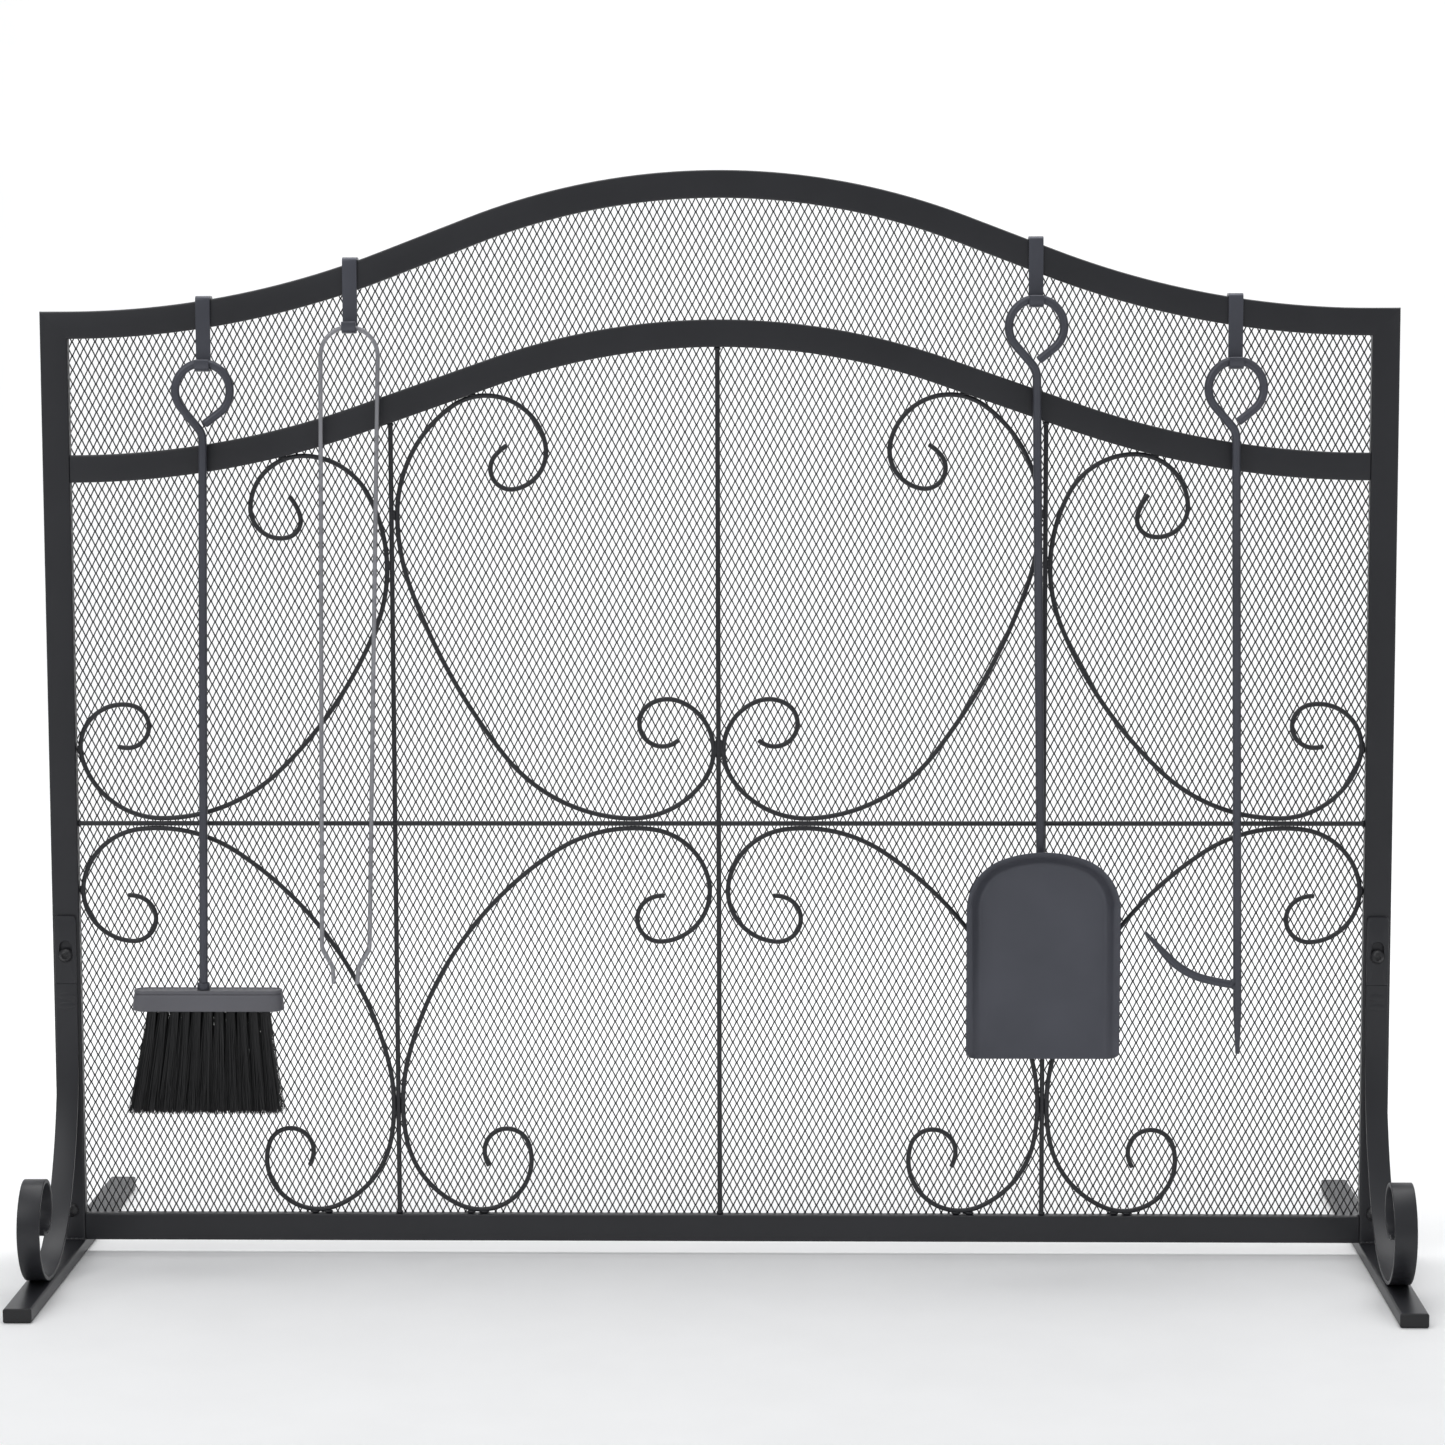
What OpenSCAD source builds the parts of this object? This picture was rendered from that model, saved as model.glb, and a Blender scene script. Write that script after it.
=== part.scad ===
// Free-standing fireplace screen: an arched tube frame on two cross feet, backed with
// expanded metal, filled with rod scrollwork, and carrying four hearth tools on strip hooks.
// X runs along the screen, the front faces -Y, Z is up. The origin is on the floor, in the middle.

/* [Frame] */
// Width over the two side tubes, mm; the arches and scrolls grow with it
screen_w = 990; // [900:10:1100]
// Width of the frame tubes seen from the front, mm
tube_face = 20; // [18:1:24]
// Depth of the frame tubes, front to back, mm
tube_depth = 10; // [10:1:14]
// Wall thickness of the tubes, mm
tube_wall = 1.2; // [1:0.1:1.6]
// Outside corner radius of the tubes, mm
tube_round = 1.5; // [1.2:0.1:2.5]
// Length of each foot bar, front to back, mm
foot_len = 410; // [380:10:480]
// Thickness of the expanded-metal sheet, mm
mesh_t = 0.8; // [0.6:0.1:1.2]

/* [Scrollwork] */
// Diameter of the grid and scroll rods, mm
rod_d = 3.5; // [3:0.1:3.6]
// Width of the curled straps on the feet, mm
strap_w = 16; // [12:1:18]
// Thickness of the curled straps, mm
strap_t = 3; // [2:0.5:4]

/* [Tools] */
// Diameter of the rods of the brush, shovel and poker, mm
tool_rod_d = 6.2; // [5:0.1:6.4]
// Diameter of the rod of the tongs, mm
tongs_rod_d = 3.2; // [2.8:0.1:4]
// Width of the hook strips, mm
hook_w = 10.6; // [8:0.2:14]
// Thickness of the hook strips, mm
hook_t = 2; // [1.5:0.1:2.2]

/* [Hidden] */
$fn = 96;

steel_black = [0.16, 0.16, 0.18];
mesh_black = [0.12, 0.12, 0.13];
plastic_black = [0.08, 0.08, 0.09];
tool_grey = [0.33, 0.33, 0.38];
tongs_grey = [0.55, 0.54, 0.58];
brush_grey = [0.42, 0.42, 0.47];
bristle_black = [0.07, 0.07, 0.08];

// Growth of the whole drawing against its nominal clear width of 950 mm
grow = (screen_w - 2 * tube_face) / 950;
inner_x = screen_w / 2 - tube_face;
tube_mid_x = (screen_w - tube_face) / 2;
foot_h = tube_depth;
front_y = -tube_depth / 2;
corner_z = foot_h + 691.2 * grow;
mid_end_z = foot_h + 586.3 * grow;
cross_z = foot_h + 314 * grow;
rod_x = 239.5 * grow;

// Seams between the steps of a swept shape: half the gap left, and how far the closing piece
// stands proud of a round rod and of a flat-sided section
seam = 0.05;
seam_over = 0.02;
seam_step = 0.01;

// Top edge of both curved rails: a dip at each side, a straight ramp, then the crown.
// A rail is [height of its ends' top edge, ramp length].
dip_r = 643 * grow;
crown_r = 505 * grow;
top_arch = [corner_z, 69 * grow];
mid_arch = [mid_end_z, 103 * grow];
function arch_a(rail) =
    asin(inner_x / norm([dip_r + crown_r, rail[1]])) - atan2(rail[1], dip_r + crown_r);
function arch_rise(rail) =
    (dip_r + crown_r) * (1 - cos(arch_a(rail))) + rail[1] * sin(arch_a(rail));

// Height over a point x of a rail's arch curve, set in by d below the top edge
function arch_z(x, rail, d = 0) =
    let (
        a = abs(x),
        slope = arch_a(rail),
        dip_x = inner_x - (dip_r + d) * sin(slope),
        crown_x = (crown_r - d) * sin(slope)
    )
    a > dip_x ? rail[0] + dip_r - sqrt(pow(dip_r + d, 2) - pow(min(inner_x, a) - inner_x, 2))
    : a > crown_x ? rail[0] + dip_r - (dip_r + d) * cos(slope) + (dip_x - a) * tan(slope)
    : rail[0] + arch_rise(rail) - crown_r + sqrt(pow(crown_r - d, 2) - a * a);

// Path steps are [length, 0] for a straight and [radius, angle] for a bend, left turns positive
function arch_path(rail) = [
    [dip_r + tube_face / 2, arch_a(rail)],
    [rail[1], 0],
    [crown_r - tube_face / 2, -2 * arch_a(rail)],
    [rail[1], 0],
    [dip_r + tube_face / 2, arch_a(rail)]
];

// Each scroll is a clockwise run of bends: [start x, start z above the foot, heading, bends]
lower_scroll = [-439, 260, 5, [
    [21, 30.4], [17, 157.8], [38, 100.9], [49, 68.7], [107, 41], [266, 41.5],
    [142, 25.4], [69, 55.3], [38, 132], [17, 171.3], [26, 20.1]]];
upper_outer_scroll = [-314.5, 556, -49.3, [
    [39, 23.4], [13, 94.8], [22, 104.4], [39, 87.6], [54, 63.1], [116, 50.3],
    [312, 23.7], [127, 43.2], [61, 73.4], [32, 117.7], [16, 169.3], [25, 16.7]]];
upper_inner_scroll = [154, 593, -31, [
    [35, 19.6], [15, 138.8], [28, 92.4], [44, 114.6], [98, 52.9], [157, 20.3],
    [442, 18.4], [122, 49], [66, 58], [39, 102.9], [25, 51.1], [17, 194.8]]];

// Upper straps, screws and slots
strap_top_z = foot_h + 245.6;
screw_z = foot_h + 216;
low_screw_z = foot_h + 22.5;
screw_r = 3;
screw_fit = 0.05;
head_r = 5.25;
head_h = 3.3;
socket_af = 4;
slot_w = 9;
slot_rise = 11;
strap_bends = [[196, 40], [89, 50], [42, 71], [36, 73], [20, 121], [18, 132]];
strap_drop = strap_bends[0][0] * sin(strap_bends[0][1])
    + strap_bends[1][0] * (1 - cos(strap_bends[1][1]));
cap_t = 1.5;
cap_plug = 12;
tab_h = 34;

// Hooks
hook_gap = 0.3;
hook_bend_r = 2.3;
cradle_r = 4.1 + hook_t / 2;
// A hung eye bends down on both sides of the hook, so its middle stays clear of the cradle
rest_gap = 1.05;
lip = 2.6;
rear_leg = 12;
hook_u = tube_depth / 2 + hook_gap + hook_t / 2;
hook_rear_u = hook_u + mesh_t;
tool_y = -(hook_u + cradle_r);
// Hooks in the order brush, tongs, shovel, poker: place along the rail and overall height
hook_xs = [-374.9 * grow, -267.3 * grow, 231.2 * grow, 375.8 * grow];
hook_heights = [54.9, 55.2, 51.3, 54.8];
function hook_top(i) =
    max(arch_z(hook_xs[i] - hook_w / 2, top_arch), arch_z(hook_xs[i] + hook_w / 2, top_arch))
    + hook_gap + hook_t;
function cradle_z(i) = hook_top(i) - hook_heights[i] + cradle_r + hook_t / 2;
// Height of the centre of a rod of diameter d resting in hook number i
function rest_z(i, d) = cradle_z(i) - cradle_r + hook_t / 2 + rest_gap + d / 2;

// Tool eyes: a loop of rod on a neck that brings the shaft under the loop's centre
eye_r = 20;
neck_a = 40;
neck_r = 14;
neck_len = (eye_r * cos(neck_a) - neck_r * (1 - cos(neck_a))) / sin(neck_a);
eye_turn = 272;
eye_tail = 14;
eye_drop = eye_r + (eye_r + neck_r) * sin(neck_a) + neck_len * cos(neck_a);

brush_lean = 0.88;
brush_block_z = 201.5;
brush_block_h = 15.5;
brush_block_w = 110.4;
brush_block_d = 18;
brush_block_x = hook_xs[0] - 3.7;
bristle_z = 108.5;
tufts = 11;
// Tufts stand closer at the block than at their tips
tuft_r = 2.6;
tuft_spacing = 8.3;
tuft_flare = 11.1;

tongs_lean = 1.09;
tongs_bow_r = 20.9;
tongs_taper = 0.43;
tongs_leg = 434;
tongs_joint_gap = 0.1;

shovel_lean = 0.75;
shovel_end_z = 290;
pan_x = hook_xs[2] + 7.1;
pan_top_z = 306.5;
pan_bottom_z = 151;
pan_w = 113;
pan_t = 1.2;
pan_depth = 13;
pan_slope = 9.5;
pan_top_r = 90;
pan_side_r = 40;

poker_lean = 0.76;
poker_tip_z = 154.3;
poker_taper = 33;
poker_hook_z = 206;

// ---------- shared shapes ----------

// Rectangle with rounded corners, centred
module round_rect(w, h, r) {
    square([w, h - 2 * r], center = true);
    square([w - 2 * r, h], center = true);
    for (sx = [-1, 1], sy = [-1, 1])
        translate([sx * (w / 2 - r), sy * (h / 2 - r)])
            circle(r);
}

// Cross-section of the frame tube, its wall grown by over on both faces
module tube_section(over = 0) {
    bore = tube_wall + over;
    difference() {
        round_rect(tube_face + 2 * over, tube_depth + 2 * over, tube_round);
        square([tube_face - 2 * bore, tube_depth - 2 * bore], center = true);
    }
}

// Frame tube swept in the plane of the screen from x, z towards +X
module tube_sweep(x, z, steps) {
    translate([x, 0, z])
        rotate([90, 0, 0])
            sweep(steps) {
                tube_section();
                seam_length()
                    tube_section(seam_step);
            }
}

// Places and headings at the start of each step of a path, and at its end: [x, y, heading]
function path_poses(steps, at = [0, 0, 0], i = 0) =
    i == len(steps) ? [at] : concat([at], path_poses(steps, step_end(at, steps[i][0], steps[i][1]), i + 1));
function step_end(at, size, turn) =
    let (h = at[2], side = turn > 0 ? 1 : -1)
    turn == 0 ? [at[0] + size * cos(h), at[1] + size * sin(h), h]
    : [
        at[0] + side * size * (sin(h + turn) - sin(h)),
        at[1] - side * size * (cos(h + turn) - cos(h)),
        h + turn
    ];

// Section (the first child) swept along a path that starts at the origin towards +X and stays
// in the XY plane. Its steps stop a hair short of each other, and the second child, which is
// minutely larger than the section, closes each seam.
module sweep(steps) {
    last = len(steps) - 1;
    poses = path_poses(steps);
    for (i = [0 : last])
        translate([poses[i][0], poses[i][1], 0])
            rotate([0, 0, poses[i][2]])
                sweep_step(steps[i][0], steps[i][1], i > 0 ? seam : 0, i < last ? seam : 0)
                    children(0);
    for (i = [1 : 1 : last])
        translate([poses[i][0], poses[i][1], 0])
            rotate([0, 0, poses[i][2]])
                children(1);
}

// One straight or bend of a path, cut short by the given lengths at its start and its end
module sweep_step(size, turn, cut_start, cut_end) {
    if (turn == 0) {
        translate([cut_start, 0, 0])
            rotate([90, 0, 90])
                linear_extrude(size - cut_start - cut_end)
                    children();
    } else {
        per_mm = 180 / (PI * size);
        translate([0, turn > 0 ? size : -size, 0])
            rotate([turn > 0 ? 0 : 180, 0, 0])
                rotate([0, 0, cut_start * per_mm - 90])
                    rotate_extrude(angle = abs(turn) - (cut_start + cut_end) * per_mm, $fn = 360)
                        translate([size, 0])
                            children();
    }
}

// Short length of a section along the path, centred on a seam
module seam_length() {
    rotate([90, 0, 90])
        linear_extrude(8 * seam, center = true)
            children();
}

// Round rod of diameter d swept upright, in the plane of the screen
module rod_sweep(x, z, heading, steps, d = rod_d) {
    translate([x, 0, z])
        rotate([90, 0, 0])
            rotate([0, 0, heading])
                sweep(steps) {
                    circle(d = d, $fn = 48);
                    seam_length()
                        circle(d = d + 2 * seam_over);
                }
}

// Flat strip swept in the plane across the screen; u counts forwards and z up
module strip_sweep(x, u, z, heading, steps, w, t) {
    translate([x, -u, z])
        rotate([90, 0, -90])
            rotate([0, 0, heading])
                sweep(steps) {
                    square([t, w], center = true);
                    seam_length()
                        square([t + 2 * seam_step, w + 2 * seam_step], center = true);
                }
}

// Block on one side of the left corner's mitre: 1 is up and inwards, -1 is down and outwards
module mitre_block(side) {
    reach = 4 * tube_face;
    translate([-inner_x, 0, corner_z - tube_face])
        rotate([0, -45, 0])
            translate([side > 0 ? 0 : -reach, -reach / 2, -reach / 2])
                cube(reach);
}

// ---------- frame ----------

// Side tube on the left with its two screw holes, open below and mitred above
module stile() {
    color(steel_black)
        difference() {
            translate([-tube_mid_x, 0, foot_h])
                linear_extrude(corner_z - foot_h)
                    tube_section();
            mitre_block(1);
            for (z = [screw_z, low_screw_z])
                translate([-tube_mid_x, front_y - 1, z])
                    rotate([-90, 0, 0])
                        cylinder(r = screw_r + screw_fit, h = tube_wall + 2);
        }
}

// Arched tube on the frame's upper edge, mitred at both ends
module top_rail() {
    color(steel_black)
        difference() {
            tube_sweep(-screen_w / 2, corner_z - tube_face / 2,
                concat([[tube_face, 0]], arch_path(top_arch), [[tube_face, 0]]));
            for (m = [0, 1])
                mirror([m, 0, 0])
                    mitre_block(-1);
        }
}

// Arched tube between the side tubes
module mid_rail() {
    color(steel_black)
        tube_sweep(-inner_x, mid_end_z - tube_face / 2, arch_path(mid_arch));
}

// Straight tube between the side tubes, level with their lower ends
module bottom_rail() {
    color(steel_black)
        tube_sweep(-inner_x, foot_h + tube_face / 2, [[2 * inner_x, 0]]);
}

// Foot: flat-lying tube across the left end, with an upright tab that enters the side tube
module foot_bar() {
    tab_side = tube_face - 2 * tube_wall - 1;
    tab_deep = tube_depth - 2 * tube_wall - 0.8;
    color(steel_black)
        difference() {
            union() {
                translate([-tube_mid_x, foot_len / 2 - cap_t, foot_h / 2])
                    rotate([90, 0, 0])
                        linear_extrude(foot_len - 2 * cap_t)
                            tube_section();
                translate([-tube_mid_x - tab_side / 2, -tab_deep / 2, foot_h - tube_wall / 2])
                    cube([tab_side, tab_deep, tab_h]);
            }
            translate([-tube_mid_x, front_y - 1, low_screw_z])
                rotate([-90, 0, 0])
                    cylinder(r = screw_r + screw_fit, h = tube_depth + 2);
        }
}

// Plugged caps in the four open ends of the foot bars
module foot_end_caps() {
    color(plastic_black)
        for (sx = [-1, 1], m = [0, 1])
            translate([sx * tube_mid_x, 0, foot_h / 2])
                mirror([0, m, 0])
                    translate([0, -foot_len / 2, 0])
                        rotate([-90, 0, 0]) {
                            linear_extrude(cap_t)
                                round_rect(tube_face, tube_depth, tube_round);
                            translate([0, 0, cap_t])
                                linear_extrude(cap_plug)
                                    square([tube_face - 2 * tube_wall - 0.1,
                                        tube_depth - 2 * tube_wall - 0.1], center = true);
                        }
}

// Flat bar down the left side tube that runs forward to the foot and curls up and back
module strap() {
    bend_z = foot_h + strap_t / 2 + strap_drop;
    corner_r = 2;
    color(steel_black)
        difference() {
            strip_sweep(-tube_mid_x, -front_y + strap_t / 2, strap_top_z, -90,
                concat([[strap_top_z - bend_z, 0]], strap_bends), strap_w, strap_t);
            strap_slot();
            for (m = [0, 1])
                translate([-tube_mid_x, front_y + 1, strap_top_z - corner_r])
                    mirror([m, 0, 0])
                        translate([strap_w / 2 - corner_r, 0, 0])
                            rotate([90, 0, 0])
                                linear_extrude(strap_t + 2)
                                    difference() {
                                        square(corner_r + 1);
                                        circle(corner_r);
                                    }
        }
}

// Upright slot that the upper screw passes through, with a few millimetres above the head
module strap_slot() {
    translate([-tube_mid_x, front_y + 1, screw_z]) {
        rotate([90, 0, 0])
            cylinder(d = slot_w, h = strap_t + 2);
        translate([0, 0, slot_rise - slot_w / 2])
            rotate([90, 0, 0])
                cylinder(d = slot_w, h = strap_t + 2);
        translate([-slot_w / 2, -strap_t - 2, 0])
            cube([slot_w, strap_t + 2, slot_rise - slot_w / 2]);
    }
}

// Button-head screw with a hexagon socket, head forwards, seated at the origin
module socket_screw(shank) {
    dome_r = (pow(head_r, 2) + pow(head_h, 2)) / (2 * head_h);
    rotate([90, 0, 0])
        difference() {
            union() {
                rotate_extrude()
                    intersection() {
                        translate([0, head_h - dome_r])
                            circle(dome_r);
                        square([head_r, head_h]);
                    }
                translate([0, 0, -shank])
                    cylinder(r = screw_r, h = shank + head_h / 2);
            }
            translate([0, 0, head_h / 2])
                cylinder(d = socket_af / cos(30), h = head_h, $fn = 6);
        }
}

module socket_screws() {
    color(steel_black)
        for (sx = [-1, 1]) {
            translate([sx * tube_mid_x, front_y - strap_t, screw_z])
                socket_screw(strap_t + 5);
            translate([sx * tube_mid_x, front_y, low_screw_z])
                socket_screw(7);
        }
}

// Expanded-metal sheet on the back faces of the tubes, drawn as a closed sheet
module mesh_panel() {
    inset = tube_face / 2;
    low_z = foot_h + tube_face / 2;
    side_x = screen_w / 2 - inset;
    dip_x = inner_x - (dip_r + inset) * sin(arch_a(top_arch));
    dip_z = arch_z(dip_x, top_arch, inset);
    crown_x = (crown_r - inset) * sin(arch_a(top_arch));
    crown_z = arch_z(crown_x, top_arch, inset);
    end_z = corner_z - inset;
    color(mesh_black)
        translate([0, tube_depth / 2 + mesh_t, 0])
            rotate([90, 0, 0])
                linear_extrude(mesh_t) {
                    difference() {
                        polygon([
                            [-side_x, low_z], [side_x, low_z], [side_x, end_z], [inner_x, end_z],
                            [dip_x, dip_z], [crown_x, crown_z],
                            [-crown_x, crown_z], [-dip_x, dip_z], [-inner_x, end_z], [-side_x, end_z]
                        ]);
                        for (sx = [-1, 1])
                            translate([sx * inner_x, corner_z + dip_r])
                                circle(dip_r + inset, $fn = 720);
                    }
                    intersection() {
                        translate([0, corner_z + arch_rise(top_arch) - crown_r])
                            circle(crown_r - inset, $fn = 720);
                        translate([-crown_x, crown_z - tube_face])
                            square([2 * crown_x, 4 * tube_face]);
                    }
                }
}

// ---------- grid rods and scrolls ----------

module cross_rod() {
    color(steel_black)
        rod_sweep(-inner_x, cross_z, 0, [[2 * inner_x, 0]]);
}

// Upright rod from the bottom rail to the underside of the cross rod
module lower_rod(x) {
    start = foot_h + tube_face;
    color(steel_black)
        rod_sweep(x, start, 90, [[cross_z - rod_d / 2 - start, 0]]);
}

// Upright rod from the cross rod to the underside of the middle rail, its end cut to the rail
module upper_rod(x) {
    start = cross_z + rod_d / 2;
    top = arch_z(x, mid_arch, tube_face);
    slope = atan2(arch_z(x + 1, mid_arch, tube_face) - arch_z(x - 1, mid_arch, tube_face), 2);
    color(steel_black)
        difference() {
            rod_sweep(x, start, 90, [[top - start + rod_d, 0]]);
            translate([x, 0, top])
                rotate([0, -slope, 0])
                    translate([-5 * rod_d, -rod_d, 0])
                        cube([10 * rod_d, 2 * rod_d, 4 * rod_d]);
        }
}

module scroll(drawn) {
    color(steel_black)
        rod_sweep(drawn[0] * grow, foot_h + drawn[1] * grow, drawn[2],
            [for (b = drawn[3]) [b[0] * grow, -b[1]]]);
}

// The same shape on the other side of the upright line at x
module mirrored_at(x) {
    translate([2 * x, 0, 0])
        mirror([1, 0, 0])
            children();
}

// ---------- hooks ----------

// Strip over the top rail with a short leg behind and an upturned cradle in front
module hook(i) {
    top_run = hook_u + hook_rear_u - 2 * hook_bend_r;
    front_leg = hook_heights[i] - hook_t - hook_bend_r - cradle_r;
    color(tool_grey)
        strip_sweep(hook_xs[i], -hook_rear_u, hook_top(i) - hook_t / 2 - hook_bend_r - rear_leg, 90, [
            [rear_leg, 0],
            [hook_bend_r, -90],
            [top_run, 0],
            [hook_bend_r, -90],
            [front_leg, 0],
            [cradle_r, 180],
            [lip, 0]
        ], hook_w, hook_t);
}

// ---------- tools ----------

// Moves a tool from under the hook's rest point out to its hanging lean and its depth
module hung(x, z, lean) {
    translate([x, tool_y, z])
        rotate([0, lean, 0])
            children();
}

// Rod with a hanging eye, its loop's top at the origin and its lower end at -drop
module eye_handle(drop) {
    color(tool_grey)
        rod_sweep(0, -drop, 90, [
            [drop - eye_drop, 0],
            [neck_r, neck_a],
            [neck_len, 0],
            [eye_r, -eye_turn],
            [eye_tail, 0]
        ], tool_rod_d);
}

module brush_handle() {
    z = rest_z(0, tool_rod_d);
    hung(hook_xs[0], z, brush_lean)
        eye_handle((z - brush_block_z) / cos(brush_lean) - 0.05);
}

// Where the brush's shaft meets its block
function brush_foot_x() =
    hook_xs[0] - (rest_z(0, tool_rod_d) - brush_block_z) * tan(brush_lean);

module brush_collar() {
    collar_h = 5;
    collar_wall = 1.6;
    color(tool_grey)
        translate([brush_foot_x(), tool_y, brush_block_z])
            difference() {
                cylinder(d = tool_rod_d + 2 * collar_wall, h = collar_h);
                translate([0, 0, -1])
                    cylinder(d = tool_rod_d + 0.3, h = collar_h + 2);
            }
}

// Plastic block, a little wider below, with a shallow groove under its top edge
module brush_block() {
    round_r = 5;
    groove = 0.5;
    cap_h = 1.6;
    color(brush_grey)
        translate([brush_block_x, tool_y, brush_block_z - brush_block_h])
            difference() {
                union() {
                    linear_extrude(brush_block_h - cap_h - groove)
                        round_rect(brush_block_w, brush_block_d, round_r);
                    linear_extrude(brush_block_h - cap_h)
                        round_rect(brush_block_w - 2 * groove, brush_block_d - 2 * groove, round_r);
                    translate([0, 0, brush_block_h - cap_h])
                        linear_extrude(cap_h)
                            round_rect(brush_block_w, brush_block_d, round_r);
                }
                for (i = [0 : tufts - 1], row = [-1, 1])
                    translate([tuft_x(i), row * brush_block_d / 4, -1])
                        cylinder(r = tuft_r + 0.8, h = 7);
                translate([32, 0, brush_block_h - 4])
                    cylinder(r = 2.2, h = 5);
            }
}

function tuft_x(i) = (i - (tufts - 1) / 2) * tuft_spacing;

// Tufts spread from their holes in the block: a lean along the block and a smaller one across
module brush_bristles() {
    reach = brush_block_z - brush_block_h - bristle_z;
    root = 4;
    tip_r = 5.2;
    color(bristle_black)
        for (i = [0 : tufts - 1], row = [-1, 1]) {
            run = (i - (tufts - 1) / 2) * (tuft_flare - tuft_spacing);
            spread = row * 1.2;
            lean = atan2(norm([run, spread]), reach);
            translate([brush_block_x + tuft_x(i), tool_y + row * brush_block_d / 4,
                brush_block_z - brush_block_h])
                rotate([0, 0, atan2(spread, run)])
                    rotate([0, 180 - lean, 0])
                        translate([0, 0, -root])
                            cylinder(r1 = tuft_r, r2 = tip_r, h = root + reach / cos(lean) - 1);
        }
}

// Upper half-round of the tongs' bent rod
module tongs_bow() {
    z = rest_z(1, tongs_rod_d);
    color(tongs_grey)
        hung(hook_xs[1], z, tongs_lean)
            rod_sweep(-tongs_bow_r, -tongs_bow_r, 90, [[tongs_bow_r, -180]], tongs_rod_d);
}

// Leg of the tongs: straight, then stepped in to a short tip; right is 0 for the left leg, 1 for
// the right leg
module tongs_arm(right) {
    steps = [[tongs_leg, 0], [10, 30], [10, 0], [14, -27], [9, 0]];
    z = rest_z(1, tongs_rod_d);
    color(tongs_grey)
        hung(hook_xs[1], z, tongs_lean)
            mirror([right, 0, 0])
                rod_sweep(-tongs_bow_r, -tongs_bow_r - tongs_joint_gap, tongs_taper - 90, steps,
                    tongs_rod_d);
}

module shovel_handle() {
    z = rest_z(2, tool_rod_d);
    hung(hook_xs[2], z, -shovel_lean)
        eye_handle(z - shovel_end_z);
}

// Outline of the pan's rim, or of its floor when set in
module pan_outline(set_in) {
    half = pan_w / 2 - set_in;
    top = pan_top_z - set_in;
    side_r = pan_side_r - set_in;
    crown = pan_top_r - set_in;
    side_x = half - side_r;
    side_z = top - crown + sqrt(pow(crown - side_r, 2) - side_x * side_x);
    foot_r = 6;
    hull() {
        for (sx = [-1, 1]) {
            translate([sx * side_x, side_z])
                circle(side_r, $fn = 64);
            translate([sx * (half - foot_r), pan_bottom_z + foot_r])
                circle(foot_r, $fn = 32);
        }
        intersection() {
            translate([0, top - crown])
                circle(crown, $fn = 144);
            translate([-side_x, top - side_r])
                square([2 * side_x, side_r]);
        }
    }
}

// Solid dish between the rim outline in front and the floor outline behind
module pan_body(inset, reach) {
    back = tool_y - tool_rod_d / 2;
    hull() {
        translate([pan_x, back - inset, 0])
            rotate([90, 0, 0])
                linear_extrude(0.01)
                    pan_outline(pan_slope + inset);
        translate([pan_x, back - pan_depth - reach, 0])
            rotate([90, 0, 0])
                linear_extrude(0.01)
                    pan_outline(inset - reach * pan_slope / pan_depth);
    }
}

// Dished pan, open to the front and at its lower edge, its sides lower towards that edge
module shovel_pan() {
    back = tool_y - tool_rod_d / 2;
    low_edge_drop = 5;
    color(tool_grey)
        difference() {
            pan_body(0, 0);
            pan_body(pan_t, 1);
            translate([pan_x - pan_w, back - pan_depth, pan_bottom_z])
                rotate([2.5, 0, 0])
                    translate([0, low_edge_drop - 2 * pan_depth, -pan_w])
                        cube([2 * pan_w, 2 * pan_depth, 3 * pan_w]);
            translate([pan_x - pan_w / 2 + pan_slope, back - pan_depth - 1, pan_bottom_z - 1])
                cube([pan_w - 2 * pan_slope, pan_depth + 1 - pan_t, pan_slope + 3]);
        }
}

module poker_handle() {
    z = rest_z(3, tool_rod_d);
    hung(hook_xs[3], z, -poker_lean) {
        eye_handle(z - poker_tip_z - poker_taper);
        color(tool_grey)
            translate([0, 0, poker_tip_z - z])
                cylinder(d1 = tool_rod_d / 2, d2 = tool_rod_d, h = poker_taper);
    }
}

// Side hook welded to the poker's shaft: two bends and a tapered tip
module poker_side_hook() {
    z = rest_z(3, tool_rod_d);
    shaft_x = hook_xs[3] + (z - poker_hook_z) * tan(poker_lean);
    start_r = tool_rod_d / 2 - 0.2;
    tip_len = 24;
    tip_root = 1;
    bends = [[190, -6], [58, -34]];
    turned = bends[0][1] + bends[1][1];
    heading = 172;
    end = heading + turned;
    end_x = arc_dx(bends[0][0], heading, heading + bends[0][1])
        + arc_dx(bends[1][0], heading + bends[0][1], end);
    end_z = arc_dz(bends[0][0], heading, heading + bends[0][1])
        + arc_dz(bends[1][0], heading + bends[0][1], end);
    color(tool_grey)
        translate([shaft_x - tool_rod_d / 2 - 0.3, tool_y, poker_hook_z]) {
            rod_sweep(0, 0, heading, concat(bends, [[tip_root, 0]]), 2 * start_r);
            translate([end_x, 0, end_z])
                rotate([0, 90 - end, 0])
                    translate([0, 0, tip_root / 2])
                        cylinder(r1 = start_r - 0.05, r2 = start_r * 0.6, h = tip_len);
        }
}

// Travel of a clockwise bend of radius r between two headings
function arc_dx(r, h0, h1) = r * (sin(h0) - sin(h1));
function arc_dz(r, h0, h1) = r * (cos(h1) - cos(h0));

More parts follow.
